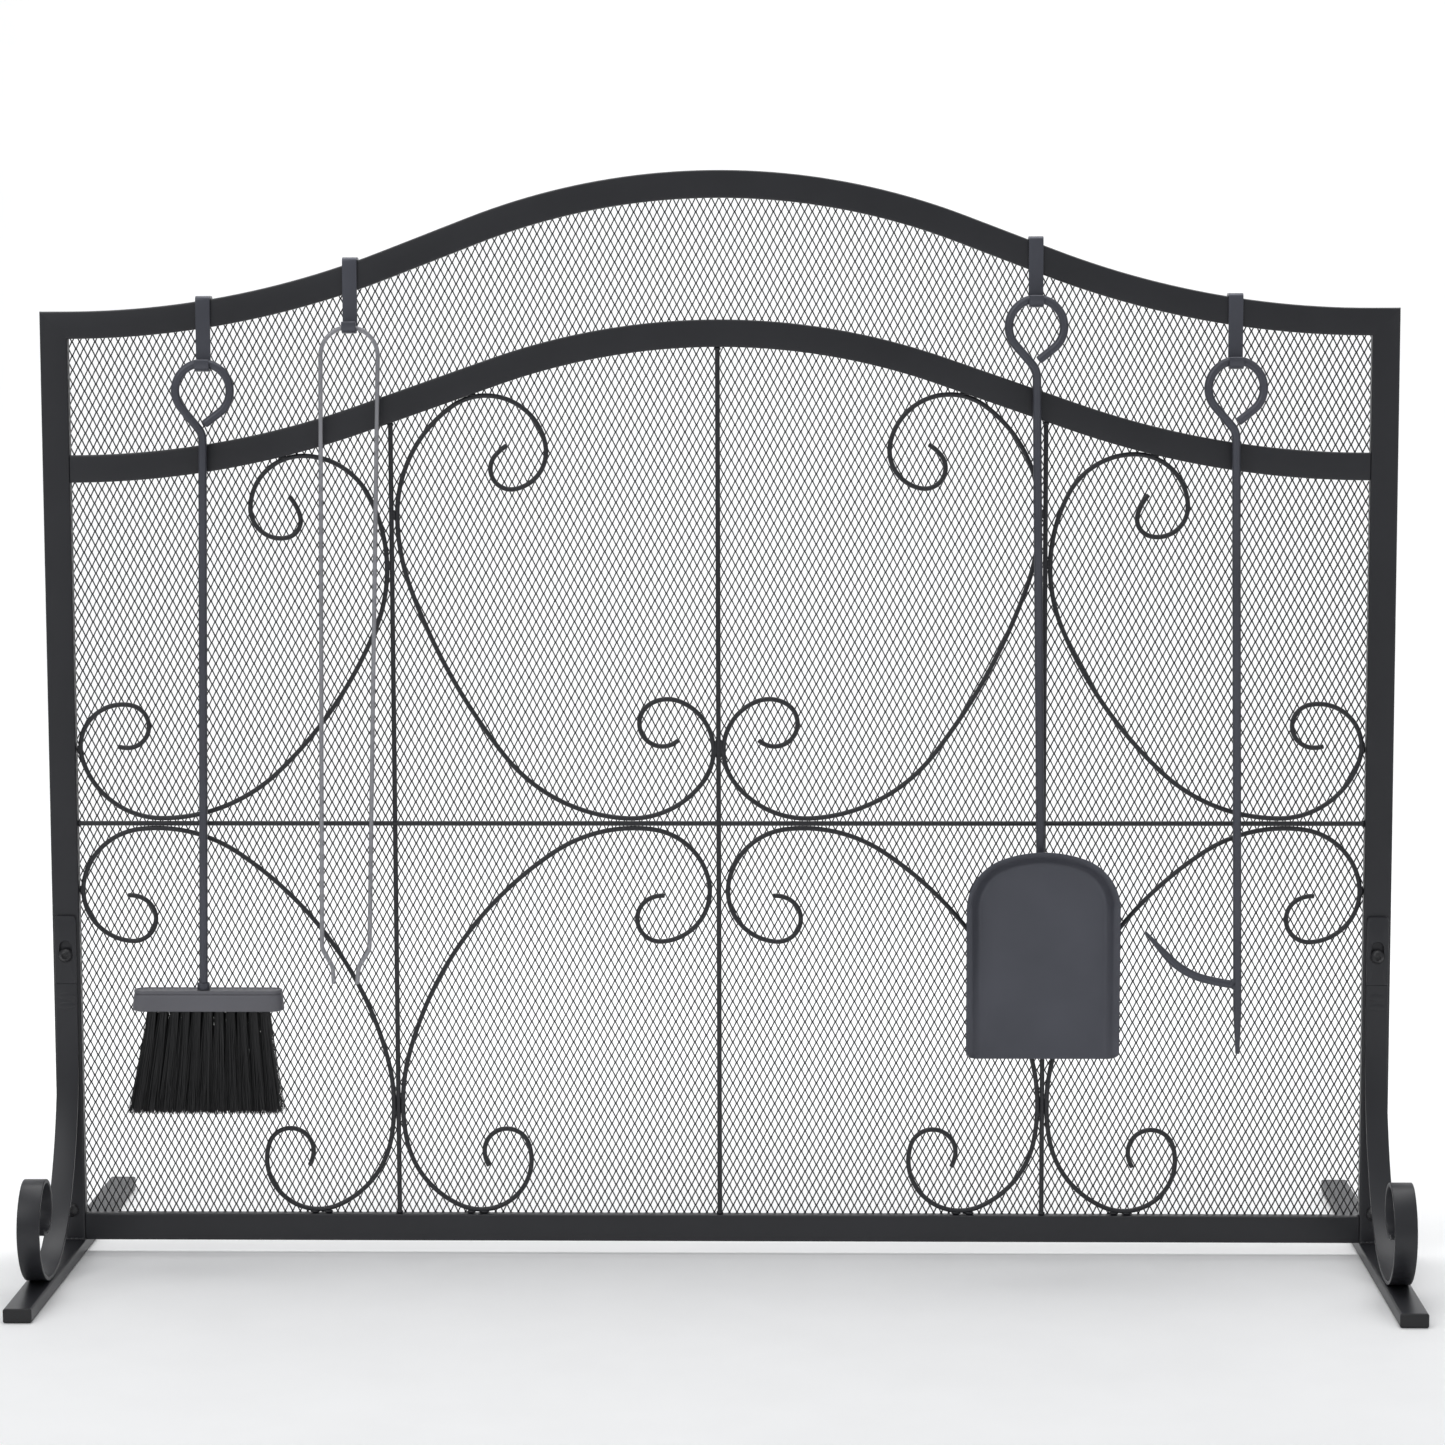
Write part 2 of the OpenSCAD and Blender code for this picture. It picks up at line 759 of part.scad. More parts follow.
stile();  // left_stile
mirrored_at(0) stile();  // right_stile
top_rail();
mid_rail();
bottom_rail();
foot_bar();  // left_foot_bar
mirrored_at(0) foot_bar();  // right_foot_bar
foot_end_caps();
strap();  // left_strap
mirrored_at(0) strap();  // right_strap
socket_screws();
cross_rod();
lower_rod(-rod_x);  // lower_rod_left
lower_rod(0);  // lower_rod_centre
lower_rod(rod_x);  // lower_rod_right
upper_rod(-rod_x);  // upper_rod_left
upper_rod(0);  // upper_rod_centre
upper_rod(rod_x);  // upper_rod_right
scroll(lower_scroll);  // scroll_lower_outer_left
mirrored_at(-rod_x) scroll(lower_scroll);  // scroll_lower_inner_left
translate([2 * rod_x, 0, 0]) scroll(lower_scroll);  // scroll_lower_inner_right
mirrored_at(0) scroll(lower_scroll);  // scroll_lower_outer_right
scroll(upper_outer_scroll);  // scroll_upper_outer_left
mirrored_at(0) scroll(upper_inner_scroll);  // scroll_upper_inner_left
scroll(upper_inner_scroll);  // scroll_upper_inner_right
mirrored_at(0) scroll(upper_outer_scroll);  // scroll_upper_outer_right
mesh_panel();
hook(0);  // hook_brush
hook(1);  // hook_tongs
hook(2);  // hook_shovel
hook(3);  // hook_poker
brush_handle();
brush_collar();
brush_block();
brush_bristles();
tongs_bow();
tongs_arm(0);  // tongs_left_arm
tongs_arm(1);  // tongs_right_arm
shovel_handle();
shovel_pan();
poker_handle();
poker_side_hook();
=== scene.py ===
"""Looks of the arched fireplace screen and its four hung tools, on a pale studio floor.

Lengths are in millimetres until build() turns a mesh into metres. The screen stands along X,
its front faces -Y and Z is up.
"""

import math
import random

import bpy
import numpy as np
from mathutils import Euler, Matrix, Vector


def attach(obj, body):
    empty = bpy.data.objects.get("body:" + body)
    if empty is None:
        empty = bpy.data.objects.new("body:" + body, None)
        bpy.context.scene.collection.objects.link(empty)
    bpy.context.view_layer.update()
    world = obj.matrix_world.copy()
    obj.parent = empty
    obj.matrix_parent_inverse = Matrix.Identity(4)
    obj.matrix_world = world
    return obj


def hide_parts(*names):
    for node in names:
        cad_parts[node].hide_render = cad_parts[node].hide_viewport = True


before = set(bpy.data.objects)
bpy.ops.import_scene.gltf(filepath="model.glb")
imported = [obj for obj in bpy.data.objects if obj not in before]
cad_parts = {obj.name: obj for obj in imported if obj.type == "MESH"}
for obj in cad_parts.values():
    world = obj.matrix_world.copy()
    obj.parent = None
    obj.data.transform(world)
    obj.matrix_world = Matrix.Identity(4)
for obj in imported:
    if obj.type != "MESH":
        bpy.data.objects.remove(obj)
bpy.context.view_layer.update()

# ---------- sizes shared with the CAD model ----------
HALF_W = 495.0
TUBE, DEPTH, ROUND = 20.0, 10.0, 1.5
INNER_X = HALF_W - TUBE
STILE_X = HALF_W - TUBE / 2
FOOT_H, FOOT_LEN = 10.0, 410.0
CORNER_Z, MID_END_Z = 701.2, 596.3
DIP_R, CROWN_R = 643.0, 505.0
TOP_RAMP, MID_RAMP = 69.0, 103.0
CROSS_Z, ROD_X, ROD_D = 324.0, 239.5, 3.5
STRAP_TOP, STRAP_W, STRAP_T = 255.6, 16.0, 3.0
STRAP_DROP = 157.778
STRAP_BENDS = [(196, 40), (89, 50), (42, 71), (36, 73), (20, 121), (18, 132)]
SCREW_Z, LOW_SCREW_Z = 226.0, 32.5
HOOK_W, HOOK_T, HOOK_BEND, CRADLE_R = 10.6, 2.0, 2.3, 5.1
HOOK_U, HOOK_REAR_U, REAR_LEG, LIP, REST_GAP = 6.3, 7.1, 12.0, 2.6, 1.05
TOOL_Y, TOOL_R, TONGS_R = -11.4, 3.1, 1.6
HOOKS = {"brush": (-374.9, 54.9), "tongs": (-267.3, 55.2),
         "shovel": (231.2, 51.3), "poker": (375.8, 54.8)}
EYE_R, NECK_A, NECK_R, EYE_TURN, EYE_TAIL = 20.0, 40.0, 14.0, 272.0, 14.0
LEAN = {"brush": 0.88, "tongs": 1.09, "shovel": -0.75, "poker": -0.76}
BLOCK_Z, BLOCK_H, BLOCK_W, BLOCK_D, BLOCK_X = 201.5, 15.5, 110.4, 18.0, -378.6
BRISTLE_Z, TUFTS, TUFT_STEP, TUFT_FLARE = 108.5, 11, 8.3, 10.3
PAN_W, PAN_TOP, PAN_BOTTOM = 113.0, 306.5, 151.0
MESH_W, MESH_H, MESH_T = 5.65, 10.3, 0.8

# Scrolls: start, heading and clockwise bends, as in the CAD model but measured from the floor
LOWER = (-439, 270, 5, [(21, 30.4), (17, 157.8), (38, 100.9), (49, 68.7), (107, 41), (266, 41.5),
                        (142, 25.4), (69, 55.3), (38, 132), (17, 171.3), (26, 20.1)])
UPPER_OUTER = (-314.5, 566, -49.3, [
    (39, 23.4), (13, 94.8), (22, 104.4), (39, 87.6), (54, 63.1), (116, 50.3),
    (312, 23.7), (127, 43.2), (61, 73.4), (32, 117.7), (16, 169.3), (25, 16.7)])
UPPER_INNER = (154, 603, -31, [
    (35, 19.6), (15, 138.8), (28, 92.4), (44, 114.6), (98, 52.9), (157, 20.3),
    (442, 18.4), (122, 49), (66, 58), (39, 102.9), (25, 51.1), (17, 194.8)])


def rail_angle(ramp):
    """Slope of a rail's straight ramp, in radians."""
    return (math.asin(INNER_X / math.hypot(DIP_R + CROWN_R, ramp))
            - math.atan2(ramp, DIP_R + CROWN_R))


def rail_z(x, end_z, ramp, d=0.0):
    """Height over x of a rail's arch, set in by d below its top edge."""
    a, slope = abs(x), rail_angle(ramp)
    rise = (DIP_R + CROWN_R) * (1 - math.cos(slope)) + ramp * math.sin(slope)
    dip_x, crown_x = INNER_X - (DIP_R + d) * math.sin(slope), (CROWN_R - d) * math.sin(slope)
    if a > dip_x:
        return end_z + DIP_R - math.sqrt((DIP_R + d) ** 2 - (min(INNER_X, a) - INNER_X) ** 2)
    if a > crown_x:
        return end_z + DIP_R - (DIP_R + d) * math.cos(slope) + (dip_x - a) * math.tan(slope)
    return end_z + rise - CROWN_R + math.sqrt((CROWN_R - d) ** 2 - a * a)


def hook_top(tool):
    x = HOOKS[tool][0]
    return max(rail_z(x + s * HOOK_W / 2, CORNER_Z, TOP_RAMP) for s in (-1, 1)) + 0.3 + HOOK_T


def rest_z(tool, radius):
    """Height of the centre of a rod that lies in the tool's hook."""
    return hook_top(tool) - HOOKS[tool][1] + HOOK_T + REST_GAP + radius


# ---------- mesh building ----------
def walk(u, v, heading, steps, sag=0.02):
    """Poses (u, v, heading in radians) along straights (length, 0) and bends (radius, angle)."""
    h = math.radians(heading)
    out = [(u, v, h)]
    for size, turn in steps:
        u, v, h = out[-1]
        if turn == 0:
            out.append((u + size * math.cos(h), v + size * math.sin(h), h))
            continue
        t = math.radians(turn)
        side = 1 if t > 0 else -1
        n = max(3, math.ceil(abs(t) / (2 * math.acos(1 - sag / size))))
        for i in range(1, n + 1):
            g = h + t * i / n
            out.append((u + side * size * (math.sin(g) - math.sin(h)),
                        v - side * size * (math.cos(g) - math.cos(h)), g))
    return out


def even(poses, longest=40.0):
    """The same path with long straights cut up, so that shading and bends stay even."""
    out = [poses[0]]
    for p in poses[1:]:
        q = out[-1]
        n = max(1, math.ceil(math.dist(p[:2], q[:2]) / longest))
        for i in range(1, n + 1):
            f = i / n
            out.append(tuple(a + (b - a) * f for a, b in zip(q, p)))
    return out


def circle(r, n=20):
    return [(r * math.cos(2 * math.pi * i / n), r * math.sin(2 * math.pi * i / n)) for i in range(n)]


def round_rect(w, h, r, n=4):
    """Rounded rectangle, w along the first axis, counter-clockwise."""
    out = []
    for cx, cy, start in ((1, 1, 0), (-1, 1, 90), (-1, -1, 180), (1, -1, 270)):
        for i in range(n + 1):
            a = math.radians(start + 90 * i / n)
            out.append((cx * (w / 2 - r) + r * math.cos(a), cy * (h / 2 - r) + r * math.sin(a)))
    return out


class Shape:
    """Vertices and faces gathered for one mesh."""

    def __init__(self):
        self.verts, self.faces = [], []

    def ring(self, points):
        self.verts.extend(points)
        return len(self.verts) - len(points)

    def skin(self, starts, n):
        for a, b in zip(starts, starts[1:]):
            for i in range(n):
                j = (i + 1) % n
                self.faces.append((a + i, a + j, b + j, b + i))

    def fan(self, start, n, flip=False):
        face = list(range(start, start + n))
        self.faces.append(tuple(reversed(face)) if flip else tuple(face))

    def sweep(self, poses, section, place, shear=(0.0, 0.0), edge=0.3, scale=None):
        """Section (a across the path in its plane, b out of the plane) along the poses; place
        turns (u, v, b) into a point. Each end gets a small bevel unless it is sheared."""
        n = len(section)
        wide = [max(abs(p[k]) for p in section) for k in (0, 1)]
        rows = []
        last = len(poses) - 1
        for i, (u, v, h) in enumerate(poses):
            k = scale(i / last) if scale else 1.0
            lean = shear[0] if i == 0 else shear[1] if i == last else 0.0
            bevel = edge if i in (0, last) and lean == 0.0 else 0.0
            ends = [(0.0, 1.0, 1.0)]
            if bevel:
                small = (0.0, 1 - bevel / wide[0], 1 - bevel / wide[1])
                full = (bevel if i == 0 else -bevel, 1.0, 1.0)
                ends = [small, full] if i == 0 else [full, small]
            for shift, ka, kb in ends:
                ring = []
                for a, b in section:
                    a, b = a * k * ka, b * k * kb
                    along = shift + lean * a
                    ring.append(place(u + along * math.cos(h) - a * math.sin(h),
                                      v + along * math.sin(h) + a * math.cos(h), b))
                rows.append(self.ring(ring))
        self.skin(rows, n)
        self.fan(rows[0], n, flip=True)
        self.fan(rows[-1], n)
        return self

    def tube_skin(self, rows, n):
        """Skin over the rings, closed from the last back to the first."""
        self.skin(rows, n)
        self.skin([rows[-1], rows[0]], n)

    def blob(self, at, size, seed, n=10):
        """Uneven rounded bead of weld, half-axes size, centred at a point."""
        rng = random.Random(seed)
        waves = [(rng.uniform(1.5, 4), rng.uniform(0, 6.3), rng.uniform(-1, 1)) for _ in range(5)]
        rows = []
        for i in range(n // 2 + 1):
            t = math.pi * (i + 0.02) / (n // 2 + 0.04)
            ring = []
            for j in range(n):
                p = 2 * math.pi * j / n
                d = (math.sin(t) * math.cos(p), math.sin(t) * math.sin(p), math.cos(t))
                r = 1 + 0.07 * sum(math.sin(w * (d[0] + 1.3 * d[2]) * 2 + q) * k for w, q, k in waves)
                ring.append(tuple(c + s * r * e for c, s, e in zip(at, size, d)))
            rows.append(self.ring(ring))
        self.skin(rows, n)
        self.fan(rows[0], n, flip=True)
        self.fan(rows[-1], n)


def build(name, shape, material, body, nodes, sharp=35.0):
    """A piece of the object: it rides on its body and stands for the CAD nodes."""
    mesh = bpy.data.meshes.new(name)
    mesh.from_pydata([tuple(c / 1000 for c in p) for p in shape.verts], [], shape.faces)
    mesh.validate()
    mesh.materials.append(material)
    mesh.polygons.foreach_set("use_smooth", [True] * len(mesh.polygons))
    mesh.set_sharp_from_angle(angle=math.radians(sharp))
    obj = bpy.data.objects.new(name, mesh)
    bpy.context.scene.collection.objects.link(obj)
    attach(obj, body)
    if nodes:
        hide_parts(*nodes)
    return obj


def in_screen(u, v, b):
    """Path plane of the screen: u along X, v up."""
    return (u, b, v)


def in_side(x):
    """Path plane across the screen at x: u counts forwards, v up."""
    return lambda u, v, b: (x + b, -u, v)


def hung(tool, radius):
    """Plane of a hung tool, its origin at the rest point in the hook."""
    x, z = HOOKS[tool][0], rest_z(tool, radius)
    lean = math.radians(LEAN[tool])
    c, s = math.cos(lean), math.sin(lean)
    return lambda u, v, b: (x + u * c + v * s, TOOL_Y + b, z - u * s + v * c)


# ---------- materials ----------
def node_material(name, colour, rough, spread=0.06, bump=0.15, grain=900.0, shade=0.12,
                  metallic=0.0, flat_colour=False):
    """Coated surface: fine grain in the bump, slow drift in roughness and colour."""
    mat = bpy.data.materials.new(name)
    mat.use_nodes = True
    tree = mat.node_tree
    bsdf = tree.nodes["Principled BSDF"]
    bsdf.inputs["Base Color"].default_value = (*colour, 1.0)
    bsdf.inputs["Metallic"].default_value = metallic
    coord = tree.nodes.new("ShaderNodeTexCoord")

    def noise(scale, detail):
        n = tree.nodes.new("ShaderNodeTexNoise")
        n.inputs["Scale"].default_value = scale
        n.inputs["Detail"].default_value = detail
        tree.links.new(coord.outputs["Object"], n.inputs["Vector"])
        return n.outputs["Fac"]

    drift = noise(14.0, 3.0)
    span = tree.nodes.new("ShaderNodeMapRange")
    span.inputs["To Min"].default_value = rough - spread
    span.inputs["To Max"].default_value = rough + spread
    tree.links.new(drift, span.inputs["Value"])
    tree.links.new(span.outputs["Result"], bsdf.inputs["Roughness"])
    if not flat_colour:
        ramp = tree.nodes.new("ShaderNodeValToRGB")
        ramp.color_ramp.elements[0].position = 0.3
        ramp.color_ramp.elements[1].position = 0.7
        ramp.color_ramp.elements[0].color = (*[c * (1 - shade) for c in colour], 1.0)
        ramp.color_ramp.elements[1].color = (*[c * (1 + shade) for c in colour], 1.0)
        tree.links.new(drift, ramp.inputs["Fac"])
        tree.links.new(ramp.outputs["Color"], bsdf.inputs["Base Color"])
    height = tree.nodes.new("ShaderNodeBump")
    height.inputs["Strength"].default_value = bump
    height.inputs["Distance"].default_value = 0.0002
    tree.links.new(noise(grain, 2.0), height.inputs["Height"])
    tree.links.new(height.outputs["Normal"], bsdf.inputs["Normal"])
    return mat


BLACK = node_material("powder_coat_black", (0.017, 0.0175, 0.021), 0.40)
MESH = node_material("mesh_black", (0.011, 0.011, 0.013), 0.55, flat_colour=True)
SCREW = node_material("screw_black", (0.016, 0.016, 0.018), 0.34)
CAP = node_material("cap_plastic", (0.012, 0.012, 0.013), 0.55)
TOOL = node_material("graphite", (0.076, 0.079, 0.096), 0.36, metallic=0.35)
TONGS = node_material("tongs_grey", (0.31, 0.31, 0.33), 0.30, metallic=0.4)
BLOCK = node_material("brush_plastic", (0.125, 0.125, 0.14), 0.45)
BRISTLE = node_material("bristle", (0.013, 0.013, 0.014), 0.40, flat_colour=True)

TUBE_SECTION = round_rect(TUBE, DEPTH, ROUND)


# ---------- frame ----------
def rail_path(ramp):
    slope = math.degrees(rail_angle(ramp))
    return [(DIP_R + TUBE / 2, slope), (ramp, 0), (CROWN_R - TUBE / 2, -2 * slope), (ramp, 0),
            (DIP_R + TUBE / 2, slope)]


def frame_tubes():
    for side, name in ((-1, "left"), (1, "right")):
        poses = even(walk(side * STILE_X, FOOT_H + 0.05, 90, [(CORNER_Z - TUBE / 2 - FOOT_H, 0)]))
        build(name + "_stile_look", Shape().sweep(poses, TUBE_SECTION, in_screen,
              shear=(0.0, -side * 1.0), edge=0.5), BLACK, "screen", [name + "_stile"])
    path = [(TUBE / 2, 0), *rail_path(TOP_RAMP), (TUBE / 2, 0)]
    poses = even(walk(-STILE_X, CORNER_Z - TUBE / 2, 0, path))
    build("top_rail_look", Shape().sweep(poses, TUBE_SECTION, in_screen, shear=(-1.0, 1.0)),
          BLACK, "screen", ["top_rail"])
    poses = even(walk(-INNER_X, MID_END_Z - TUBE / 2, 0, rail_path(MID_RAMP)))
    build("mid_rail_look", Shape().sweep(poses, TUBE_SECTION, in_screen, edge=0.5), BLACK,
          "screen", ["mid_rail"])
    poses = even(walk(-INNER_X, FOOT_H + TUBE / 2, 0, [(2 * INNER_X, 0)]))
    build("bottom_rail_look", Shape().sweep(poses, TUBE_SECTION, in_screen, edge=0.5), BLACK,
          "screen", ["bottom_rail"])


def feet():
    section = round_rect(DEPTH, TUBE, ROUND)
    cap = 1.5
    caps = Shape()
    for side, name in ((-1, "left"), (1, "right")):
        place = in_side(side * STILE_X)
        run = FOOT_LEN - 2 * cap
        poses = even(walk(-run / 2, FOOT_H / 2, 0, [(run, 0)]))
        build(name + "_foot_look", Shape().sweep(poses, section, place, edge=0.25), BLACK,
              "screen", [name + "_foot_bar"])
        for start in (-FOOT_LEN / 2, FOOT_LEN / 2 - cap):
            caps.sweep(walk(start, FOOT_H / 2, 0, [(cap, 0)]), section, place, edge=0.5)
    build("foot_caps_look", caps, CAP, "screen", ["foot_end_caps"])


# ---------- straps and screws ----------
def slotted_plate(shape, x, low, back_y):
    """Upper stretch of a strap, with its slot, from its rounded top down to low."""
    cz = SCREW_Z + 3.25
    half_w, corner, half_slot, slot_top = STRAP_W / 2, 2.0, 4.5, SCREW_Z + 6.5
    sides = [math.atan2(low - cz, s * half_w) for s in (1, -1)]
    angles = sorted({round(a % (2 * math.pi), 9) for a in
                     [2 * math.pi * i / 96 for i in range(96)] + sides})

    def reach(inside, a):
        near, far = 0.0, 80.0
        for _ in range(40):
            mid = (near + far) / 2
            if inside(mid * math.cos(a), cz + mid * math.sin(a)):
                near = mid
            else:
                far = mid
        return near * math.cos(a), cz + near * math.sin(a)

    def outer(inset):
        def inside(u, v):
            r = corner - inset * 0.5
            du, dv = abs(u) - (half_w - inset - r), v - (STRAP_TOP - inset - r)
            return (abs(u) <= half_w - inset and low <= v <= STRAP_TOP - inset
                    and not (du > 0 and dv > 0 and math.hypot(du, dv) > r))
        return inside

    def slot(grow):
        return lambda u, v: math.hypot(
            u, v - min(max(v, SCREW_Z), slot_top)) <= half_slot + grow

    bevel = 0.5
    levels = [(outer(0), 0.0), (outer(0), STRAP_T - bevel), (outer(0.15), STRAP_T - 0.15),
              (outer(bevel), STRAP_T), (slot(0.3), STRAP_T), (slot(0), STRAP_T - 0.3), (slot(0), 0.0)]
    rows = []
    for inside, depth in levels:
        points = [reach(inside, a) for a in angles]
        rows.append(shape.ring([(x + u, back_y - depth, v) for u, v in points]))
    shape.tube_skin(rows, len(angles))


def straps():
    """Flat bars from the slotted plate down to the curl in front of the foot, each with its two
    low humps under the slot."""
    low, hump_z, hump_apart, hump = 205.0, 192.0, 3.6, (7.2, 0.75, 2.9)
    section = round_rect(STRAP_T, STRAP_W, 0.5)
    bend_z = FOOT_H + STRAP_T / 2 + STRAP_DROP
    back_y = -DEPTH / 2
    for side, name in ((-1, "left"), (1, "right")):
        shape = Shape()
        x = side * STILE_X
        slotted_plate(shape, x, low, back_y)
        poses = even(walk(DEPTH / 2 + STRAP_T / 2, low, -90, [(low - bend_z, 0), *STRAP_BENDS]), 8.0)
        shape.sweep(poses, section, in_side(x), edge=0.4)
        for dz in (-hump_apart, hump_apart):
            shape.blob((x, back_y - STRAP_T + 0.25, hump_z + dz), hump, dz > 0, 16)
        build(name + "_strap_look", shape, BLACK, "screen", [name + "_strap"])


def screw(shape, x, y, z):
    """Button head with a hexagon socket, seated at y and facing -Y."""
    head_r, head_h, socket, n = 5.25, 3.3, 2.0, 48
    dome = (head_r ** 2 + head_h ** 2) / (2 * head_h)

    def hexagon(a):
        return socket / math.cos((a % (math.pi / 3)) - math.pi / 6)

    def height(r):
        return math.sqrt(dome ** 2 - r ** 2) - dome + head_h

    rings = [(lambda a: head_r, 0.0), (lambda a: head_r, 0.35)]
    for r in (5.1, 4.8, 4.4, 3.9, 3.4, 3.0, 2.7):
        rings.append((lambda a, r=r: r, height(r)))
    rings += [(lambda a: hexagon(a) + 0.15, height(2.4)), (hexagon, height(2.4) - 0.2),
              (hexagon, 1.3), (lambda a: 0.3, 0.9)]
    rows = []
    for radius, up in rings:
        rows.append(shape.ring([
            (x + radius(a) * math.cos(a), y - up, z + radius(a) * math.sin(a))
            for a in [2 * math.pi * i / n for i in range(n)]]))
    shape.skin(rows, n)
    shape.fan(rows[-1], n)


def screws():
    shape = Shape()
    for side in (-1, 1):
        screw(shape, side * STILE_X, -DEPTH / 2 - STRAP_T, SCREW_Z)
        screw(shape, side * STILE_X, -DEPTH / 2, LOW_SCREW_Z)
    build("screws_look", shape, SCREW, "screen", ["socket_screws"], sharp=50)


# ---------- rods, scrolls and welds ----------
def mirror_path(data, *lines):
    """A scroll's poses, mirrored about each upright line in turn."""
    x, z, heading, bends = data
    poses = walk(x, z, heading, [(r, -a) for r, a in bends])
    for line in lines:
        poses = [(2 * line - u, v, math.pi - h) for u, v, h in poses]
    return poses


def rods_and_scrolls():
    section = circle(ROD_D / 2, 16)
    runs = {"cross_rod": (-INNER_X, CROSS_Z, 0, 2 * INNER_X)}
    for x, name in ((-ROD_X, "left"), (0.0, "centre"), (ROD_X, "right")):
        low = FOOT_H + TUBE
        runs["lower_rod_" + name] = (x, low, 90, CROSS_Z - ROD_D / 2 - low)
        start = CROSS_Z + ROD_D / 2
        runs["upper_rod_" + name] = (x, start, 90, rail_z(x, MID_END_Z, MID_RAMP, TUBE) - start)
    for name, (x, z, heading, length) in runs.items():
        poses = even(walk(x, z, heading, [(length, 0)]))
        build(name + "_look", Shape().sweep(poses, section, in_screen, edge=0.1), BLACK, "screen",
              [name])
    scrolls = {
        "scroll_lower_outer_left": (LOWER,), "scroll_lower_inner_left": (LOWER, -ROD_X),
        "scroll_lower_inner_right": (LOWER, -ROD_X, 0), "scroll_lower_outer_right": (LOWER, 0),
        "scroll_upper_outer_left": (UPPER_OUTER,), "scroll_upper_outer_right": (UPPER_OUTER, 0),
        "scroll_upper_inner_right": (UPPER_INNER,), "scroll_upper_inner_left": (UPPER_INNER, 0)}
    for name, args in scrolls.items():
        poses = even(mirror_path(*args))
        build(name + "_look", Shape().sweep(poses, section, in_screen, edge=0.5), BLACK, "screen",
              [name])


def welds():
    """Tacks where the rods and scrolls touch the frame and each other, and where tubes meet."""
    shape = Shape()
    tall, wide, small, cross, end = ((1.5, 1.9, 3.6), (3.6, 1.9, 1.5), (1.2, 1.6, 2.4),
                                     (2.6, 2.3, 2.6), (2.6, 2.6, 1.8))
    sill = FOOT_H + TUBE

    def under_mid(x, drop):
        return rail_z(x, MID_END_Z, MID_RAMP, TUBE) - drop

    spots = []
    for s in (-1, 1):
        # scrolls against the side tubes, each other's rods and the bottom rail
        spots += [((s * 473.6, 274), tall), ((s * 473.4, 379), tall)]
        spots += [((s * ROD_X - 1.9, 106), small), ((s * ROD_X + 1.9, 119), small)]
        spots += [((s * x, sill + 1.2), wide) for x in (303, 293, 186, 176)]
        spots += [((s * (ROD_X - 2), 552), tall), ((s * (ROD_X + 2), 515), tall),
                  ((s * 1.9, 380), (1.3, 1.8, 6.5))]
        spots += [((s * x, under_mid(x, 0.8)), wide) for x in (179, 318)]
        # ends and crossings of the rods
        spots += [((s * 474, CROSS_Z), (1.6, 2.4, 2.6)), ((s * ROD_X, CROSS_Z), cross),
                  ((s * ROD_X, sill + 1), end), ((s * ROD_X, under_mid(ROD_X, 1)), end)]
    spots += [((0, CROSS_Z), cross), ((0, sill + 1), end), ((0, under_mid(0, 1)), end)]
    for k, ((x, z), size) in enumerate(spots):
        shape.blob((x, 0, z), size, k)
    # seam between each side tube and its foot
    for s in (-1, 1):
        for k in range(5):
            shape.blob((s * (STILE_X - 7 + 3.5 * k), -DEPTH / 2 - 0.2, FOOT_H + 0.4),
                       (2.6, 1.3, 1.5), 40 + 5 * s + k)
    build("weld_beads", shape, BLACK, "screen", [], sharp=80)


# ---------- expanded metal ----------
def strands(x0, x1):
    """Zigzag strands of the sheet between two x, joined where they touch."""
    pitch, swing = MESH_W / 2, (MESH_W / 2 - 0.35) / 2
    half_w, half_t, twist = 0.5, 0.3, 0.12
    low, y_mid = FOOT_H + TUBE / 2, DEPTH / 2 + MESH_T / 2
    verts, faces = [], []
    base = 0
    for k in range(math.ceil(x0 / pitch), math.ceil(x1 / pitch)):
        x = k * pitch
        top = rail_z(x, CORNER_Z, TOP_RAMP, TUBE / 2) if abs(x) < INNER_X else CORNER_Z - TUBE / 2
        count = int((top - low) / (MESH_H / 2)) + 1
        j = np.arange(count + 1)
        z = np.minimum(low + j * MESH_H / 2, top)
        side = np.where((j + k) % 2 == 0, 1.0, -1.0)
        cx = x + side * swing
        cy = y_mid - side * twist
        ring = [(-half_w, -half_t), (half_w, -half_t), (half_w, half_t), (-half_w, half_t)]
        rows = np.stack([np.stack([cx + a, cy + b - twist * a / half_w, z], 1)
                         for a, b in ring], 1)
        verts.append(rows.reshape(-1, 3))
        i = base + 4 * j[:-1][:, None] + np.arange(4)
        nxt = base + 4 * j[:-1][:, None] + (np.arange(4) + 1) % 4
        faces.append(np.stack([i, nxt, nxt + 4, i + 4], 2).reshape(-1, 4))
        base += 4 * (count + 1)
    shape = Shape()
    shape.verts = np.concatenate(verts).tolist()
    shape.faces = np.concatenate(faces).tolist()
    return shape


def mesh_sheet():
    cuts = [-STILE_X, -ROD_X, 0.0, ROD_X, STILE_X]
    for k, (a, b) in enumerate(zip(cuts, cuts[1:])):
        build(f"mesh_field_{k + 1}", strands(a, b), MESH, "screen", ["mesh_panel"],
              sharp=25)


